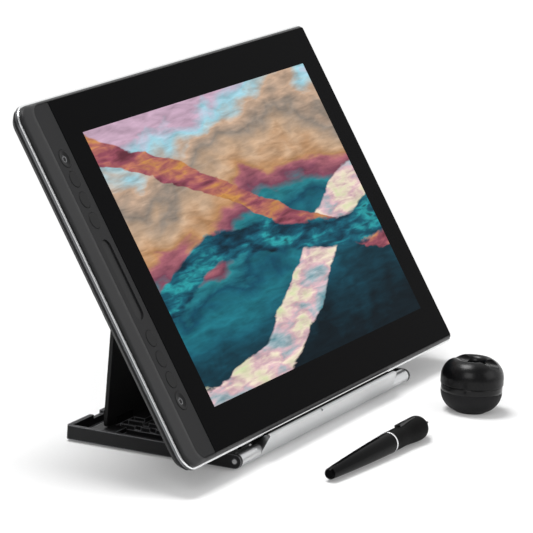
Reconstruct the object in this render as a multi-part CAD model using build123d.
from build123d import *
import os
from math import atan2, cos, degrees, radians, sin

# Drawing tablet with a built-in screen, leaning on a folding stand, with its pen and pen holder.
# Millimetres. X runs along the stand's hinge line, to the right as seen by the user, Y runs to the
# rear and Z runs up. The origin lies on the desk, straight under the middle of the hinge line.

# Tablet body
body_width = 438.0
body_height = 252.0
body_thickness = 11.5
left_margin = 62.8
right_margin = 31.0
top_margin = 28.4
bottom_margin = 30.0
left_corner = 13.0
right_corner = 5.0
least_corner = 1.0

# Tablet front frame: a wide slope on the left and narrow ones on the other sides
frame_inset = 1.2
frame_side = 1.2
shoulder_run = 0.9
shoulder_rise = 0.9
left_slope = 15.2
right_slope = 4.6
top_slope = 3.0
bottom_slope = 3.6
window_left_corner = 9.0
window_right_corner = 1.6
window_ledge = 1.5
bar_post = 3.0

# Tablet edge band and rear cover
band_bottom = 5.0
band_top = 8.0
band_width = 3.0
band_bevel = 0.5
cover_floor = 1.4
cover_wall = 1.7
cover_taper = 3.0
cover_inner_taper = 1.5
vent_length = 24.0
vent_width = 1.8
vent_pitch = 30.0
vent_row_pitch = 5.0
vent_drop = 26.0
vent_columns = 6
vent_rows = 3
rear_pad_length = 42.0
rear_pad_width = 9.0
rear_pad_height = 0.9
rear_pad_edge = 26.0
post_radius = 3.0
post_edge = 16.0

# Tablet glass and the layers under it
glass_thickness = 1.2
glass_gap = 0.15
panel_margin = 4.0
chassis_thickness = 0.8
digitiser_thickness = 0.6
board_thickness = 1.2
board_width = 128.0
board_bottom = 48.0
board_edge = 36.0
chip_size = 16.0
chip_height = 1.0
chip_pitch_share = 0.19
chip_columns = 3
chip_rows = 4

# Key bar, press keys and touch strip
bar_width = 22.8
bar_gap = 0.4
bar_thickness = 1.7
bar_drop = 0.2
key_radius_share = 0.382
end_key_radius_share = 0.4306
key_gap = 0.2
key_proud = 0.2
key_edge = 0.3
key_flange = 0.9
key_flange_height = 0.8
key_slack = 0.2
key_travel = 0.7
key_pitch_share = 0.0744
key_count = 8
first_key_share = 0.2118
end_key_dish_radius = 16.0
end_key_dish_depth = 0.8
dome_radius = 2.6
dome_gap = 0.05
key_board_width = 16.0
key_board_thickness = 1.0
key_board_end = 10.0
strip_length_share = 0.2872
strip_width = 10.6
strip_depth = 1.3
strip_thickness = 0.4
strip_gap = 0.15

# Sockets and power button in the right side
socket_length = 7.4
socket_width = 9.0
socket_height = 3.2
socket_wall = 0.3
socket_tongue = 0.7
socket_tongue_inset = 1.2
socket_gap = 0.15
socket_recess = 0.4
socket_edge = 70.0
socket_pitch = 24.0
power_length = 12.0
power_width = 2.2
power_proud = 0.5
power_gap = 0.15
power_flange = 0.5
power_flange_depth = 0.6
power_travel = 0.4
power_edge = 52.0
switch_depth = 3.0
switch_width = 4.0

# Stand: how the tablet leans
screen_tilt = 57.8
ledge_height = 6.4
ledge_rubber = 0.8
plate_pad = 1.0

# Stand: hinge line
barrel_radius = 4.7
foot_height = 1.5
cheek_span = 276.0
cheek_thickness = 3.0
end_tube_length = 28.0
rail_gap = 0.3
pin_radius = 1.5
running_gap = 0.05

# Stand: lip rail
nose_reach = 12.8
nose_radius = 0.9
rail_wall = 1.3
rail_slot_bottom = 2.5
rail_cap_thickness = 7.0
rail_cap_cut = 5.4
rail_cap_cut_drop = 8.0
rail_hole_place = -22.0
rail_hole_radius = 1.1
rail_hole_drop = 1.7
rail_hole_depth = 3.0
ledge_rubber_start = 1.4
ledge_rubber_end = 10.6
ledge_rubber_sink = 0.6

# Stand: support plate
plate_width = 248.0
plate_end = 14.1
plate_thickness = 3.0
plate_corner = 10.0
plate_tube_gap = 1.0
plate_pad_width = 12.0
plate_pad_length = 180.0
plate_pad_edge = 14.0
plate_pad_corner = 2.0

# Stand: tray base
tray_reach = 121.3
tray_floor = 2.0
tray_front_gap = 1.2
tray_corner = 2.5
shelf_rise = 3.6
shelf_front = 10.0
shelf_back = 8.0
shoe_gap = 0.3
rack_place = 95.4
rack_span = 12.0
rack_thickness = 2.0
rack_start = 40.0
rack_drop = 0.2
rack_recess = 27.0
notch_width = 4.0
notch_depth = 2.4
notch_pitch = 11.0
notch_first = 15.0
notch_count = 4
grip_cut_place = 41.0
grip_cut_width = 14.0
grip_cut_depth = 2.4
foot_radius = 6.0
foot_edge = 14.0

# Stand: leg
leg_side = 20.0
leg_thickness = 2.5
leg_setback = 18.3
leg_lean = 1.4
leg_corner = 4.0
leg_gap = 0.1
knuckle_radius = 3.4
knuckle_gap = 0.4
knuckle_place = 96.0
knuckle_play = 0.3
leg_knuckle = 16.0
plate_knuckle = 10.0
shoe_width = 24.0
shoe_height = 5.0
shoe_thickness = 3.5
shoe_proud = 0.4

# Pen
pen_x = -128.9
pen_y = -60.8
pen_turn = -2.5
pen_roll = -14.0
pen_length = 150.0
tail_radius = 3.8
tail_end_radius = 2.7
tail_round = 1.6
ring_share = 0.5774
ring_width = 1.6
ring_radius = 7.4
tail_swell = 0.35
grip_start_radius = 7.1
grip_waist_share = 0.7024
grip_waist_radius = 7.0
bulge_share = 0.875
bulge_radius = 8.4
nose_reach_share = 0.9
nose_end_share = 0.97
nose_end_radius = 1.9
nose_start_radius = 7.3
nib_radius = 0.9
nib_gap = 0.08
nib_tip_radius = 0.4
nib_tip_length = 2.0
nib_stem = 14.0
nib_travel = 0.4
pen_groove_start_share = 0.0357
pen_groove_end_share = 0.5
pen_groove_width = 3.4
pen_groove_depth = 1.0
rocker_share = 0.78
rocker_length = 24.0
rocker_width = 4.4
rocker_rise = 1.3
rocker_gap = 0.25
rocker_depth = 2.6
rocker_round = 0.5
rocker_pin_radius = 0.8
rocker_pin_drop = 0.7
core_radius = 3.0
core_start_share = 0.1786
coil_radius = 3.6
coil_length = 10.0
desk_gap = 0.05

# Pen holder
holder_x = 99.5
holder_y = -67.0
holder_radius = 21.7
holder_foot_height = 1.0
holder_foot_radius = 10.5
holder_foot_width = 2.5
bowl_bottom_radius = 12.2
bowl_belly_radius = 18.4
bowl_belly_height = 6.0
band_low = 14.9
band_high = 19.8
band_inset = 0.5
band_depth = 1.6
lid_shoulder = 23.4
lid_flank_radius = 19.1
lid_flank_height = 32.0
crest_radius = 12.6
crest_height = 37.0
well_lip_radius = 9.2
well_lip_height = 35.5
well_radius = 8.0
well_top = 32.2
well_bottom = 8.0
sleeve_wall = 1.8
sleeve_gap = 0.3
rack_outer_radius = 18.4
rack_height = 9.6
rack_fit = 0.1
lid_wall = 1.8
trough_radius = 7.2
trough_rise = 1.8
trough_turn = -8.0
nib_store_radius = 15.6
nib_store_count = 8
nib_store_depth = 9.0
nib_store_proud = 3.6
nib_store_gap = 0.15

# One overrun serves every cut
overrun = 1.0

# Sizes worked out from the ones above
screen_width = body_width - left_margin - right_margin
screen_height = body_height - top_margin - bottom_margin
screen_left = left_margin - body_width / 2
key_pitch = screen_height * key_pitch_share
key_radius = key_pitch * key_radius_share
end_key_radius = key_pitch * end_key_radius_share
first_key = screen_height * first_key_share
strip_length = screen_height * strip_length_share
screen_middle = bottom_margin + screen_height / 2
window_left = left_slope - body_width / 2
window_right = body_width / 2 - right_slope
bar_right = window_left + bar_width
bar_middle = window_left + bar_width / 2
bar_top = body_thickness - bar_drop
bar_bottom = bar_top - bar_thickness
glass_bottom = body_thickness - glass_thickness
chassis_top = band_bottom + chassis_thickness
panel_bottom = chassis_top + digitiser_thickness
key_board_top = chassis_top + key_board_thickness
key_flange_top = bar_bottom - key_slack
key_flange_bottom = key_flange_top - key_flange_height
cover_side = body_width / 2 - frame_inset
board_right = cover_side - cover_wall - socket_gap
board_height = body_height - board_edge - board_bottom
socket_middle = band_bottom - socket_gap - socket_height / 2
seat_height = ledge_height + ledge_rubber
hinge_height = foot_height + barrel_radius
rail_length = cheek_span - 2 * (end_tube_length + rail_gap)
rail_half = rail_length / 2 - rail_cap_thickness
stand_half = cheek_span / 2 + cheek_thickness
floor_top = foot_height + tray_floor
wall_top = hinge_height + barrel_radius
shelf_top = floor_top + shelf_rise
leg_width = 2 * (stand_half - leg_side)
foot_y = tray_reach - leg_setback
foot_z = shelf_top + leg_gap
pivot_back = plate_thickness + knuckle_gap + knuckle_radius

# The leg's pivot lies on the plate's line and above the foot's place: two equations, two lengths
tilt = radians(screen_tilt)
lean = radians(leg_lean)
pivot_run = foot_y - pivot_back * sin(tilt)
pivot_fall = foot_z - hinge_height + pivot_back * cos(tilt)
pivot_up = (pivot_run * cos(lean) + pivot_fall * sin(lean)) / cos(tilt - lean)
leg_length = (pivot_run * sin(tilt) - pivot_fall * cos(tilt)) / cos(tilt - lean)
pivot_y = pivot_up * cos(tilt) + pivot_back * sin(tilt)
pivot_z = hinge_height + pivot_up * sin(tilt) - pivot_back * cos(tilt)
plate_length = pivot_up + plate_end

# The well's sleeve ends under the lid's trough
trough_axis = crest_height + trough_rise
sleeve_top = trough_axis - trough_radius - lid_wall - sleeve_gap

# Places along the pen, from its tail. The coil ends behind the nib's travel, and the pen lies on
# its ring and its bulge
ring_place = pen_length * ring_share
grip_waist_place = pen_length * grip_waist_share
bulge_place = pen_length * bulge_share
nose_place = pen_length * nose_reach_share
nose_end = pen_length * nose_end_share
pen_groove_start = pen_length * pen_groove_start_share
pen_groove_end = pen_length * pen_groove_end_share
rocker_place = pen_length * rocker_share
core_start = pen_length * core_start_share
coil_end = nose_end - nib_stem - nib_travel - nib_gap
pen_pitch = degrees(atan2(bulge_radius - ring_radius, bulge_place - ring_place))
pen_z = desk_gap + ring_radius * cos(radians(pen_pitch)) - ring_place * sin(radians(pen_pitch))

# Frames of the leaning pieces: local X along the hinge line, local Y up the plate, local Z to the user
leaning = Location((0, 0, hinge_height), (screen_tilt, 0, 0))
display_place = leaning * Location((0, seat_height, plate_pad))
leg_place = Location((0, pivot_y, pivot_z), (90 + leg_lean, 0, 0))
pen_place = (
    Location((pen_x, pen_y, pen_z), (0, 0, pen_turn))
    * Location((0, 0, 0), (0, -pen_pitch, 0))
    * Location((0, 0, 0), (pen_roll, 0, 0))
)
holder_place = Location((holder_x, holder_y, 0), (0, 0, trough_turn))


def box(x_low, x_high, y_low, y_high, z_low, z_high):
    """A block between two corners."""
    size = (x_high - x_low, y_high - y_low, z_high - z_low)
    return Pos(x_low, y_low, z_low) * Box(*size, align=(Align.MIN, Align.MIN, Align.MIN))


def rod(radius, x_low, x_high, y=0, z=0):
    """A round bar along X."""
    bar = Cylinder(radius, x_high - x_low, align=(Align.CENTER, Align.CENTER, Align.MIN))
    return Pos(x_low, y, z) * Rot(0, 90, 0) * bar


def post(radius, x, y, z_low, z_high):
    """A round post along Z."""
    bar = Cylinder(radius, z_high - z_low, align=(Align.CENTER, Align.CENTER, Align.MIN))
    return Pos(x, y, z_low) * bar


def spread(places, sketch):
    """One sketch with a copy of another at each place."""
    return Sketch() + [place * sketch for place in places]


def rounded(sketch, left_radius, right_radius):
    """The same sketch with its left and its right corners rounded."""
    sketch = fillet(sketch.vertices().group_by(Axis.X)[0], max(left_radius, least_corner))
    return fillet(sketch.vertices().group_by(Axis.X)[-1], max(right_radius, least_corner))


def body_outline(inset, level):
    """The tablet's outline seen from the front, drawn in by an inset, at a level above its back."""
    sheet = Rectangle(body_width - 2 * inset, body_height - 2 * inset)
    sheet = rounded(sheet, left_corner - inset, right_corner - inset)
    return Pos(0, body_height / 2, level) * sheet


def window_outline(inset, level):
    """The outline of the frame's window for the key bar and the glass."""
    width = window_right - window_left
    height = body_height - top_slope - bottom_slope
    sheet = Rectangle(width - 2 * inset, height - 2 * inset)
    sheet = rounded(sheet, window_left_corner - inset, window_right_corner)
    return Pos((window_left + window_right) / 2, bottom_slope + height / 2, level) * sheet


def beside_bar(solid, gap):
    """The part of a solid that lies right of the key bar, with a gap."""
    return solid & box(bar_right + gap, body_width, -overrun, body_height, -overrun, body_thickness)


def front_frame():
    """Dark frame round the front: a short upright side, a shoulder, then slopes up to the window."""
    side = extrude(body_outline(frame_inset, band_top), frame_side)
    rim = body_outline(frame_inset, band_top + frame_side)
    shoulder = body_outline(frame_inset + shoulder_run, band_top + frame_side + shoulder_rise)
    window = window_outline(0, body_thickness)
    frame = side + loft([rim, shoulder], ruled=True) + loft([shoulder, window], ruled=True)
    bar_seat = extrude(window_outline(0, bar_bottom), bar_thickness + overrun)
    bar_seat &= box(-body_width, bar_right, 0, body_height, 0, body_thickness + overrun)
    glass_seat = extrude(window_outline(0, glass_bottom), glass_thickness + overrun)
    opening = extrude(window_outline(window_ledge, band_top - overrun), body_thickness)
    opening -= box(bar_right - bar_post / 2, bar_right, 0, body_height, 0, bar_bottom)
    opening -= box(bar_right, bar_right + bar_post / 2, 0, body_height, 0, glass_bottom)
    return frame - bar_seat - glass_seat - opening


def edge_band():
    """Bright metal band round the body, between the front frame and the rear cover."""
    band = extrude(body_outline(0, band_bottom), band_top - band_bottom)
    band = chamfer(band.faces().sort_by(Axis.Z)[-1].edges(), band_bevel)
    band = chamfer(band.faces().sort_by(Axis.Z)[0].edges(), band_bevel)
    return band - extrude(body_outline(band_width, 0), body_thickness)


def socket_centers():
    """Heights up the right side at which the two sockets open."""
    return [socket_edge, socket_edge + socket_pitch]


def rear_cover():
    """Shallow cover over the back: tapered edge, vents, screw posts, openings in its right side."""
    shell = extrude(body_outline(frame_inset, 0), band_bottom)
    shell = chamfer(shell.faces().sort_by(Axis.Z)[0].edges(), cover_taper)
    room = extrude(body_outline(frame_inset + cover_wall, cover_floor), band_bottom)
    room = chamfer(room.faces().sort_by(Axis.Z)[0].edges(), cover_inner_taper)
    cover = shell - room
    grid = GridLocations(vent_pitch, vent_row_pitch, vent_columns, vent_rows)
    slots = spread(grid, SlotOverall(vent_length, vent_width))
    cover -= Pos(0, body_height - vent_drop, -overrun) * extrude(slots, cover_floor + 2 * overrun)
    for x in (screen_left, 0, body_width / 2 - post_edge):
        for y in (bottom_margin / 2, body_height - top_margin / 2):
            cover += post(post_radius, x, y, cover_floor, band_bottom)
    half_width = socket_width / 2 + socket_gap
    half_height = socket_height / 2 + socket_gap
    for y in socket_centers():
        cover -= box(
            board_right - overrun, body_width,
            y - half_width, y + half_width,
            socket_middle - half_height, socket_middle + half_height,
        )
    cover -= power_shape(power_gap, board_right - overrun, body_width)
    flange_room = power_flange_depth + power_travel + 2 * power_gap
    inner_face = cover_side - cover_wall
    return cover - power_shape(power_flange + power_gap, inner_face - flange_room, inner_face)


def power_shape(gap, x_low, x_high):
    """The power button's long round form along X, widened by a gap."""
    slot = SlotOverall(power_length + 2 * gap, power_width + 2 * gap)
    place = Plane((x_low, body_height - power_edge, socket_middle), x_dir=(0, 1, 0), z_dir=(1, 0, 0))
    return extrude(place * slot, x_high - x_low)


def power_button():
    """Long round button that stands a little out of the right side, with a flange inside."""
    inner_face = cover_side - cover_wall - power_gap
    cap = power_shape(0, inner_face, cover_side + power_proud)
    return cap + power_shape(power_flange, inner_face - power_flange_depth, inner_face)


def sockets():
    """Two flat oval sockets with a tongue inside, open to the right."""
    pieces = []
    mouth = cover_side - socket_recess
    for y in socket_centers():
        place = Plane((mouth - socket_length, y, socket_middle), x_dir=(0, 1, 0), z_dir=(1, 0, 0))
        shell = extrude(place * SlotOverall(socket_width, socket_height), socket_length)
        inside = SlotOverall(socket_width - 2 * socket_wall, socket_height - 2 * socket_wall)
        shell -= Pos(socket_tongue_inset, 0, 0) * extrude(place * inside, socket_length)
        tongue = Rectangle(socket_width - socket_height, socket_tongue)
        shell += extrude(place * tongue, socket_length - socket_tongue_inset)
        pieces.append(shell)
    return Compound(children=pieces)


def main_board():
    """Circuit board on the back of the chassis, cut out round the sockets, with chips and a switch."""
    top = band_bottom
    low = top - board_thickness
    board = box(board_right - board_width, board_right, board_bottom, board_bottom + board_height, low, top)
    socket_back = cover_side - socket_recess - socket_length - socket_gap
    half = socket_width / 2 + socket_gap
    for y in socket_centers():
        board -= box(socket_back, body_width, y - half, y + half, 0, top)
    button_room = power_length / 2 + power_flange + power_gap
    button_back = cover_side - cover_wall - power_gap - power_flange_depth - power_travel - power_gap
    button_y = body_height - power_edge
    board -= box(button_back, body_width, button_y - button_room, button_y + button_room, 0, top)
    grid = GridLocations(2 * chip_size, board_height * chip_pitch_share, chip_columns, chip_rows)
    chips = spread(grid, Rectangle(chip_size, chip_size))
    place = Pos(board_right - board_width / 2, board_bottom + board_height / 2, low - chip_height)
    board += place * extrude(chips, chip_height)
    switch = box(
        button_back - switch_depth, button_back,
        button_y - switch_width / 2, button_y + switch_width / 2,
        socket_middle - power_width / 2, top,
    )
    return board + switch


def chassis():
    """Metal plate inside the edge band that carries the screen on its front and the board behind."""
    return extrude(body_outline(band_width, band_bottom), chassis_thickness)


def screen_sheet(margin, level):
    """A sheet as large as the lit picture and a margin."""
    sheet = Rectangle(screen_width + 2 * margin, screen_height + 2 * margin)
    return Pos(screen_left + screen_width / 2, screen_middle, level) * sheet


def digitiser_board():
    """Sensor board for the pen behind the screen panel."""
    return extrude(screen_sheet(panel_margin, chassis_top), digitiser_thickness)


def lcd_panel():
    """Screen panel with its back light, bonded under the glass."""
    return extrude(screen_sheet(panel_margin, panel_bottom), glass_bottom - panel_bottom)


def front_glass():
    """One flat glass from the key bar to the right rim."""
    return beside_bar(extrude(window_outline(glass_gap, glass_bottom), glass_thickness), glass_gap)


def key_height(number):
    """Height of a key's centre up the body; the first half lies above the strip, the rest below."""
    half_count = key_count // 2
    if number <= half_count:
        return screen_middle + first_key + (half_count - number) * key_pitch
    return screen_middle - first_key - (number - half_count - 1) * key_pitch


def key_size(number):
    """Radius of a key's cap; the first and the last are larger."""
    return end_key_radius if number in (1, key_count) else key_radius


def key_bar():
    """Matte bar that carries the keys, with a round hole for each and a sunk bed for the strip."""
    bar = extrude(window_outline(bar_gap, bar_bottom), bar_thickness)
    bar &= box(-body_width, bar_right - glass_gap, 0, body_height, 0, body_thickness)
    for number in range(1, key_count + 1):
        hole = key_size(number) + key_gap
        bar -= post(hole, bar_middle, key_height(number), bar_bottom - overrun, body_thickness)
    bed = Rot(0, 0, 90) * SlotOverall(strip_length, strip_width)
    return bar - Pos(bar_middle, screen_middle, bar_top - strip_depth) * extrude(bed, body_thickness)


def touch_strip():
    """Smooth strip that lies in the bar's sunk bed."""
    pad = Rot(0, 0, 90) * SlotOverall(strip_length - 2 * strip_gap, strip_width - 2 * strip_gap)
    return Pos(bar_middle, screen_middle, bar_top - strip_depth) * extrude(pad, strip_thickness)


def press_key(number):
    """Round press key: cap through the bar, flange under it. The end keys are dished."""
    radius = key_size(number)
    y = key_height(number)
    cap_top = bar_top + key_proud
    cap = post(radius, bar_middle, y, key_flange_top, cap_top)
    cap = fillet(cap.edges().group_by(Axis.Z)[-1], key_edge)
    if number in (1, key_count):
        ball = Sphere(end_key_dish_radius)
        cap -= Pos(bar_middle, y, cap_top + end_key_dish_radius - end_key_dish_depth) * ball
    return cap + post(radius + key_flange, bar_middle, y, key_flange_bottom, key_flange_top)


def key_board():
    """Long board under the key bar with a switch dome below each key."""
    half_height = key_height(1) - screen_middle + key_board_end
    board = box(
        bar_middle - key_board_width / 2, bar_middle + key_board_width / 2,
        screen_middle - half_height, screen_middle + half_height,
        chassis_top, key_board_top,
    )
    dome_top = key_flange_bottom - key_travel - dome_gap
    for number in range(1, key_count + 1):
        board += post(dome_radius, bar_middle, key_height(number), key_board_top, dome_top)
    return board


def rear_pads():
    """Four rubber pads near the corners of the back."""
    x = body_width / 2 - rear_pad_edge - rear_pad_length / 2
    y = body_height / 2 - rear_pad_edge
    pads = spread(GridLocations(2 * x, 2 * y, 2, 2), SlotOverall(rear_pad_length, rear_pad_width))
    return Pos(0, body_height / 2, -rear_pad_height) * extrude(pads, rear_pad_height)


def rail_profile():
    """The rail's full section: round barrel on the hinge line and a ledge with a rounded nose."""
    back = -plate_thickness - rail_wall
    corners = (
        Circle(barrel_radius)
        + Pos(ledge_height - 2 * nose_radius, nose_reach - nose_radius) * Circle(nose_radius)
        + Pos(ledge_height - nose_radius, nose_reach - 2 * nose_radius) * Circle(nose_radius)
        + Pos(ledge_height - nose_radius, back + nose_radius) * Circle(nose_radius)
    )
    return make_hull(corners.edges())


def lip_rail():
    """Extruded hollow rail with a slot for the plate, a bed for the rubber and one small hole."""
    profile = rail_profile()
    hollow = offset(profile, -rail_wall) - Circle(barrel_radius)
    hollow -= Pos(0, -body_width / 2) * Rectangle(body_width, body_width + 2 * rail_wall)
    rail = extrude(Plane.YZ * (profile - hollow), rail_half, both=True)
    reach = rail_half + overrun
    rail -= box(-reach, reach, rail_slot_bottom, body_thickness, -plate_thickness, 0)
    bed_floor = ledge_height - ledge_rubber_sink
    rail -= box(-reach, reach, bed_floor, body_thickness, ledge_rubber_start, ledge_rubber_end)
    hole_y = ledge_height - rail_hole_drop
    hole_start = nose_reach - rail_hole_depth
    rail -= post(rail_hole_radius, rail_hole_place, hole_y, hole_start, nose_reach + overrun)
    return rail - rod(pin_radius + running_gap, -reach, reach)


def rail_caps():
    """Two end caps that close the rail: round like its barrel, the ledge's outer corner cut away."""
    end = rail_length / 2
    top = ledge_height + overrun
    corner = make_face(Polyline(
        (end, ledge_height - rail_cap_cut_drop),
        (end + overrun, ledge_height - rail_cap_cut_drop),
        (end + overrun, top),
        (end - rail_cap_cut, top),
        (end - rail_cap_cut, ledge_height),
        close=True,
    ))
    corner = extrude(corner, body_thickness + barrel_radius, both=True)
    corner -= rod(barrel_radius, rail_half - overrun, end + 2 * overrun)
    cap = Pos(rail_half, 0, 0) * extrude(Plane.YZ * rail_profile(), rail_cap_thickness)
    cap -= corner
    plate_foot = barrel_radius + plate_tube_gap
    cap -= box(rail_half - overrun, end + overrun, plate_foot, top, -plate_thickness, 0)
    cap -= rod(pin_radius + running_gap, rail_half - overrun, end + overrun)
    return Compound(children=[cap, mirror(cap, Plane.YZ)])


def lip_rubber():
    """Rubber strip let into the ledge, on which the tablet's lower edge stands."""
    bed_floor = ledge_height - ledge_rubber_sink
    return box(-rail_half, rail_half, bed_floor, seat_height, ledge_rubber_start, ledge_rubber_end)


def support_plate():
    """Flat plate behind the tablet; its foot stands in the rail's slot, its back carries knuckles."""
    half = plate_width / 2
    low = barrel_radius + plate_tube_gap
    plate = box(-half, half, low, plate_length, -plate_thickness, 0)
    top = plate.edges().filter_by(Axis.Z).group_by(Axis.Y)[-1]
    plate = fillet(top, plate_corner)
    plate += box(-rail_half, rail_half, rail_slot_bottom, low, -plate_thickness, 0)
    reach = leg_knuckle / 2 + knuckle_play + plate_knuckle / 2
    for side in (-1, 1):
        for place in (-reach, reach):
            x = side * knuckle_place + place
            web = box(
                x - plate_knuckle / 2, x + plate_knuckle / 2,
                -knuckle_radius, knuckle_radius, 0, pivot_back - plate_thickness,
            )
            ear = rod(knuckle_radius, x - plate_knuckle / 2, x + plate_knuckle / 2) + web
            ear -= rod(pin_radius, x - plate_knuckle, x + plate_knuckle)
            plate += Pos(0, pivot_up, -pivot_back) * ear
    return plate


def plate_pads():
    """Two rubber strips on the front of the plate, on which the tablet's back lies."""
    x = plate_width / 2 - plate_pad_edge - plate_pad_width / 2
    middle = (plate_length + ledge_height) / 2
    length = min(plate_pad_length, plate_length - ledge_height - 2 * plate_pad_edge)
    strip = RectangleRounded(plate_pad_width, length, plate_pad_corner)
    return Pos(0, middle, 0) * extrude(spread(Locations((-x, 0), (x, 0)), strip), plate_pad)


def base_tray():
    """Shallow tray: floor, side walls that run forward into round cheeks, rear wall, shelf, racks."""
    half = stand_half
    wall = cheek_thickness
    tray = box(-half, half, barrel_radius + tray_front_gap, tray_reach, foot_height, wall_top)
    room = box(-half + wall, half - wall, 0, tray_reach - wall, floor_top, wall_top + overrun)
    tray -= room
    for x_low in (-half, half - wall):
        tray += box(x_low, x_low + wall, 0, barrel_radius + tray_front_gap, foot_height, wall_top)
        tray += rod(barrel_radius, x_low, x_low + wall, 0, hinge_height)
    tray = fillet(tray.edges().filter_by(Axis.Z).group_by(Axis.Y)[-1], tray_corner)
    shelf = box(-half + wall, half - wall, foot_y - shelf_front, foot_y + shelf_back, floor_top, shelf_top)
    for side in (-1, 1):
        middle = side * rack_place
        shelf -= box(
            middle - rack_recess / 2, middle + rack_recess / 2,
            0, foot_y - shoe_thickness / 2 - shoe_gap, floor_top - overrun, wall_top,
        )
    tray += shelf
    for side in (-1, 1):
        for offset_x in (-rack_span / 2, rack_span / 2):
            tray += rack_rail(side * rack_place + offset_x)
        notch = side * (half - grip_cut_place)
        tray -= box(
            notch - grip_cut_width / 2, notch + grip_cut_width / 2,
            tray_reach - wall - overrun, tray_reach + overrun,
            wall_top - grip_cut_depth, wall_top + overrun,
        )
    pin_hole = rod(pin_radius, -half - overrun, half + overrun, 0, hinge_height)
    return tray - pin_hole


def rack_rail(x):
    """One rail of a rack, with notches in which the leg stands for the lower positions."""
    rail_top = shelf_top - rack_drop
    end = foot_y - shoe_thickness / 2 - shoe_gap
    rail = box(x - rack_thickness / 2, x + rack_thickness / 2, rack_start, end, floor_top, rail_top)
    for step in range(notch_count):
        y = foot_y - notch_first - step * notch_pitch
        rail -= box(
            x - rack_thickness, x + rack_thickness,
            y - notch_width / 2, y + notch_width / 2,
            rail_top - notch_depth, rail_top + overrun,
        )
    return rail


def base_feet():
    """Four round rubber feet under the tray."""
    x = stand_half - foot_edge
    y_front = barrel_radius + tray_front_gap + foot_edge
    y_rear = tray_reach - foot_edge
    feet = [post(foot_radius, sx * x, y, 0, foot_height) for sx in (-1, 1) for y in (y_front, y_rear)]
    return Compound(children=feet)


def end_tubes():
    """Two silver tubes on the hinge pin between the cheeks and the rail."""
    pieces = []
    for x_low in (-cheek_span / 2, cheek_span / 2 - end_tube_length):
        tube = rod(barrel_radius, x_low, x_low + end_tube_length)
        tube -= rod(pin_radius, x_low - overrun, x_low + end_tube_length + overrun)
        pieces.append(tube)
    return Pos(0, 0, hinge_height) * Compound(children=pieces)


def hinge_pin():
    """Steel pin right through both cheeks."""
    return rod(pin_radius, -stand_half, stand_half, 0, hinge_height)


def leg_plate():
    """Flat leg with a rounded foot, recesses for its rubber shoes and a knuckle at each side."""
    half = leg_width / 2
    low = -leg_length + shoe_proud
    high = -knuckle_radius - knuckle_gap
    leg = box(-half, half, low, high, -leg_thickness / 2, leg_thickness / 2)
    leg = fillet(leg.edges().filter_by(Axis.Z), leg_corner)
    for side in (-1, 1):
        x = side * knuckle_place
        leg += box(
            x - leg_knuckle / 2, x + leg_knuckle / 2,
            high - overrun, 0, -leg_thickness / 2, leg_thickness / 2,
        )
        leg += rod(knuckle_radius, x - leg_knuckle / 2, x + leg_knuckle / 2)
        leg -= rod(pin_radius + running_gap, x - leg_knuckle, x + leg_knuckle)
        shoe_x = side * rack_place
        leg -= box(
            shoe_x - shoe_width / 2, shoe_x + shoe_width / 2,
            low - overrun, low + shoe_height, -leg_thickness, leg_thickness,
        )
    return leg


def leg_shoes():
    """Two rubber shoes set into the leg's lower edge."""
    pieces = []
    for side in (-1, 1):
        x = side * rack_place
        pieces.append(box(
            x - shoe_width / 2, x + shoe_width / 2,
            -leg_length, -leg_length + shoe_proud + shoe_height,
            -shoe_thickness / 2, shoe_thickness / 2,
        ))
    return Compound(children=pieces)


def leg_pins():
    """Two short pins on which the leg turns."""
    reach = leg_knuckle / 2 + knuckle_play + plate_knuckle
    places = (-knuckle_place, knuckle_place)
    pieces = [rod(pin_radius, x - reach, x + reach) for x in places]
    return Pos(0, pivot_up, -pivot_back) * Compound(children=pieces)


def turned(*path):
    """A solid turned about X from an outline of edges that ends on the axis."""
    return revolve(make_face(Curve() + list(path)), Axis.X)


def pen_tail():
    """Tapered tail of the pen with a blunt end and a long flat groove."""
    end = ring_place
    root = grip_start_radius
    swell = (tail_radius + root) / 2 + tail_swell
    body = turned(
        Line((0, 0), (0, tail_end_radius)),
        Line((0, tail_end_radius), (tail_round, tail_radius)),
        ThreePointArc((tail_round, tail_radius), ((tail_round + end) / 2, swell), (end, root)),
        Line((end, root), (end, 0)),
        Line((end, 0), (0, 0)),
    )
    slope = degrees(atan2(root - tail_radius, end - tail_round))
    length = pen_groove_end - pen_groove_start
    middle = (pen_groove_start + pen_groove_end) / 2
    groove = extrude(SlotOverall(length, pen_groove_width), bulge_radius)
    body -= Pos(middle, 0, swell - pen_groove_depth) * Rot(0, -slope, 0) * groove
    return body - rod(core_radius, core_start, end + overrun)


def pen_ring():
    """Thin silver ring between tail and grip."""
    ring = rod(ring_radius, ring_place, ring_place + ring_width)
    return ring - rod(core_radius, ring_place - overrun, ring_place + ring_width + overrun)


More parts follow.
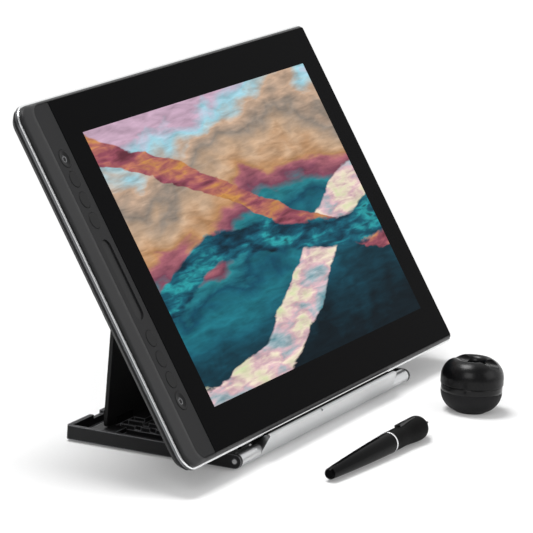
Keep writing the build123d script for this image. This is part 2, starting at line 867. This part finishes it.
def pen_grip():
    """Soft grip that swells towards the nib and closes in a short cone."""
    start = ring_place + ring_width
    waist = (grip_waist_place, grip_waist_radius)
    bulge = (bulge_place, bulge_radius)
    shoulder = (nose_place, nose_start_radius)
    grip = turned(
        Line((start, 0), (start, grip_start_radius)),
        Line((start, grip_start_radius), waist),
        Spline(waist, bulge, tangents=[(1, 0), (1, 0)]),
        TangentArc(bulge, shoulder, tangent=(1, 0)),
        Line(shoulder, (nose_end, nose_end_radius)),
        Line((nose_end, nose_end_radius), (nose_end, 0)),
        Line((nose_end, 0), (start, 0)),
    )
    grip -= rod(core_radius, start - overrun, bulge_place - coil_length)
    grip -= rod(coil_radius, bulge_place - coil_length, coil_end)
    grip -= rod(nib_radius + nib_gap, coil_end - overrun, pen_length)
    pocket = Rectangle(rocker_length + 2 * rocker_gap, rocker_width + 2 * rocker_gap)
    floor = grip_waist_radius - rocker_depth - rocker_gap
    grip -= Pos(rocker_place, 0, floor) * extrude(pocket, 2 * bulge_radius)
    pin_z = floor + rocker_gap + rocker_pin_drop
    pin = Cylinder(rocker_pin_radius, rocker_width + 2 * rocker_gap, rotation=(90, 0, 0))
    return grip + Pos(rocker_place, 0, pin_z) * pin


def pen_rocker():
    """Rocker key that tips about its middle on a small pin."""
    low = grip_waist_radius - rocker_depth
    high = grip_waist_radius + rocker_rise
    half = rocker_length / 2
    top = fillet(
        extrude(Rectangle(rocker_length, rocker_width), high - low).edges().group_by(Axis.Z)[-1],
        rocker_round,
    )
    key = Pos(rocker_place, 0, low) * top
    pin_z = low + rocker_pin_drop
    bore = Cylinder(rocker_pin_radius + running_gap, 2 * rocker_width, rotation=(90, 0, 0))
    key -= Pos(rocker_place, 0, pin_z) * bore
    clear = 2 * rocker_gap
    for side in (-1, 1):
        end = side * (half + clear)
        wedge = make_face(Polyline((0, -clear), (end, -clear), (end, 2 * clear), (0, 0), close=True))
        cut = extrude(Plane.XZ * wedge, rocker_width, both=True)
        key -= Pos(rocker_place, 0, low) * cut
    return key


def pen_nib():
    """Round nib with a blunt tip that slides a little in the nose."""
    start = nose_end - nib_stem
    tip = pen_length - nib_tip_length
    return turned(
        Line((start, 0), (start, nib_radius)),
        Line((start, nib_radius), (tip, nib_radius)),
        Line((tip, nib_radius), (pen_length, nib_tip_radius)),
        Line((pen_length, nib_tip_radius), (pen_length, 0)),
        Line((pen_length, 0), (start, 0)),
    )


def pen_core():
    """Inner core: slim carrier from the tail to the coil behind the nib."""
    end = bulge_place - coil_length
    return rod(core_radius, core_start, end) + rod(coil_radius, end, coil_end)


def holder_foot():
    """Rubber ring under the holder."""
    ring = post(holder_foot_radius, 0, 0, 0, holder_foot_height)
    return ring - post(holder_foot_radius - holder_foot_width, 0, 0, -overrun, holder_foot_height + overrun)


def spun(*path):
    """A solid turned about Z from an outline of radius and height that ends on the axis."""
    face = make_face(Curve() + list(path))
    return revolve(Plane.XZ * face, Axis.Z)


def well_sleeve():
    """Soft sleeve that lines the pen well; the lid fits over it."""
    tube = post(well_radius + sleeve_wall, 0, 0, well_bottom, sleeve_top)
    return tube - post(well_radius, 0, 0, well_bottom - overrun, well_top)


def nib_places():
    """Places of the spare nibs in a circle round the well."""
    return PolarLocations(nib_store_radius, nib_store_count)


def nib_rack():
    """Ring let into the bowl, with a hole for each spare nib."""
    rack = post(rack_outer_radius - rack_fit, 0, 0, band_high - rack_height, band_high)
    rack -= post(well_radius + sleeve_wall + rack_fit, 0, 0, well_bottom, band_high + overrun)
    hole = post(nib_radius + nib_store_gap, 0, 0, band_high - nib_store_depth, band_high + overrun)
    for place in nib_places():
        rack -= place * hole
    return rack


def holder_bowl():
    """Matte bowl with beds for the well's sleeve and for the nib rack."""
    rim = holder_radius - band_inset
    neck = rim - band_depth
    low = holder_foot_height
    bowl = spun(
        Line((0, low), (bowl_bottom_radius, low)),
        ThreePointArc((bowl_bottom_radius, low), (bowl_belly_radius, bowl_belly_height), (rim, band_low)),
        Line((rim, band_low), (neck, band_low)),
        Line((neck, band_low), (neck, band_high)),
        Line((neck, band_high), (0, band_high)),
        Line((0, band_high), (0, low)),
    )
    bowl -= post(well_radius + sleeve_wall, 0, 0, well_bottom, band_high + overrun)
    return bowl - post(rack_outer_radius, 0, 0, band_high - rack_height, band_high + overrun)


def holder_band():
    """Glossy band round the top of the bowl."""
    rim = holder_radius - band_inset
    band = post(rim, 0, 0, band_low, band_high)
    return band - post(rim - band_depth, 0, 0, band_low - overrun, band_high + overrun)


def spare_nibs():
    """Spare nibs that stand in the rack under the lid."""
    nib = post(nib_radius, 0, 0, band_high - nib_store_depth, band_high + nib_store_proud)
    return Compound(children=[place * nib for place in nib_places()])


def lid_outside():
    """The lid's full outer form with the pen well through its middle."""
    low = band_high
    flank = (lid_flank_radius, lid_flank_height)
    crest = (crest_radius, crest_height)
    lip = (well_lip_radius, well_lip_height)
    return spun(
        Line((0, low), (holder_radius, low)),
        Line((holder_radius, low), (holder_radius, lid_shoulder)),
        ThreePointArc((holder_radius, lid_shoulder), flank, crest),
        ThreePointArc(crest, lip, (well_radius, well_top)),
        Line((well_radius, well_top), (0, well_top)),
        Line((0, well_top), (0, low)),
    )


def holder_lid():
    """Bulging hollow lid over the spare nibs, with a pen rest trough across its crest."""
    wall = lid_wall
    inner = holder_radius - wall
    low = band_high
    outside = lid_outside() - post(well_radius, 0, 0, well_bottom, crest_height)
    flank = (lid_flank_radius - wall, lid_flank_height - wall)
    crest = (crest_radius, crest_height - 2 * wall)
    hollow = spun(
        Line((0, low), (inner, low)),
        Line((inner, low), (inner, lid_shoulder)),
        ThreePointArc((inner, lid_shoulder), flank, crest),
        Line(crest, (well_radius, well_top)),
        Line((well_radius, well_top), (0, well_top)),
        Line((0, well_top), (0, low)),
    )
    trough = Cylinder(trough_radius, 2 * holder_radius, rotation=(90, 0, 0))
    guard = Cylinder(trough_radius + wall, 2 * holder_radius, rotation=(90, 0, 0))
    axis = Pos(0, 0, trough_axis)
    return outside - (hollow - axis * guard) - axis * trough


def nodes():
    """Every sub-part by name, in its place."""
    parts = {
        "front_frame": display_place * front_frame(),
        "edge_band": display_place * edge_band(),
        "rear_cover": display_place * rear_cover(),
        "rear_pads": display_place * rear_pads(),
        "front_glass": display_place * front_glass(),
        "lcd_panel": display_place * lcd_panel(),
        "digitiser_board": display_place * digitiser_board(),
        "chassis": display_place * chassis(),
        "main_board": display_place * main_board(),
        "key_board": display_place * key_board(),
        "sockets": display_place * sockets(),
        "power_button": display_place * power_button(),
        "key_bar": display_place * key_bar(),
        "touch_strip": display_place * touch_strip(),
        "base_tray": base_tray(),
        "base_feet": base_feet(),
        "end_tubes": end_tubes(),
        "hinge_pin": hinge_pin(),
        "lip_rail": leaning * lip_rail(),
        "lip_rubber": leaning * lip_rubber(),
        "rail_caps": leaning * rail_caps(),
        "support_plate": leaning * support_plate(),
        "plate_pads": leaning * plate_pads(),
        "leg_pins": leaning * leg_pins(),
        "leg_plate": leg_place * leg_plate(),
        "leg_shoes": leg_place * leg_shoes(),
        "pen_tail": pen_place * pen_tail(),
        "pen_ring": pen_place * pen_ring(),
        "pen_grip": pen_place * pen_grip(),
        "pen_rocker": pen_place * pen_rocker(),
        "pen_nib": pen_place * pen_nib(),
        "pen_core": pen_place * pen_core(),
        "holder_foot": holder_place * holder_foot(),
        "holder_bowl": holder_place * holder_bowl(),
        "holder_band": holder_place * holder_band(),
        "well_sleeve": holder_place * well_sleeve(),
        "nib_rack": holder_place * nib_rack(),
        "holder_lid": holder_place * holder_lid(),
        "spare_nibs": holder_place * spare_nibs(),
    }
    for number in range(1, key_count + 1):
        parts[f"key_{number}"] = display_place * press_key(number)
    return parts


os.makedirs("parts", exist_ok=True)
for name, shape in nodes().items():
    export_step(shape, f"parts/{name}.step")
print("leg length", round(leg_length, 2), "pivot", round(pivot_y, 3), round(pivot_z, 3))
print("tilt axis height", hinge_height, "pen height", round(pen_z, 3), "pen pitch", round(pen_pitch, 3))
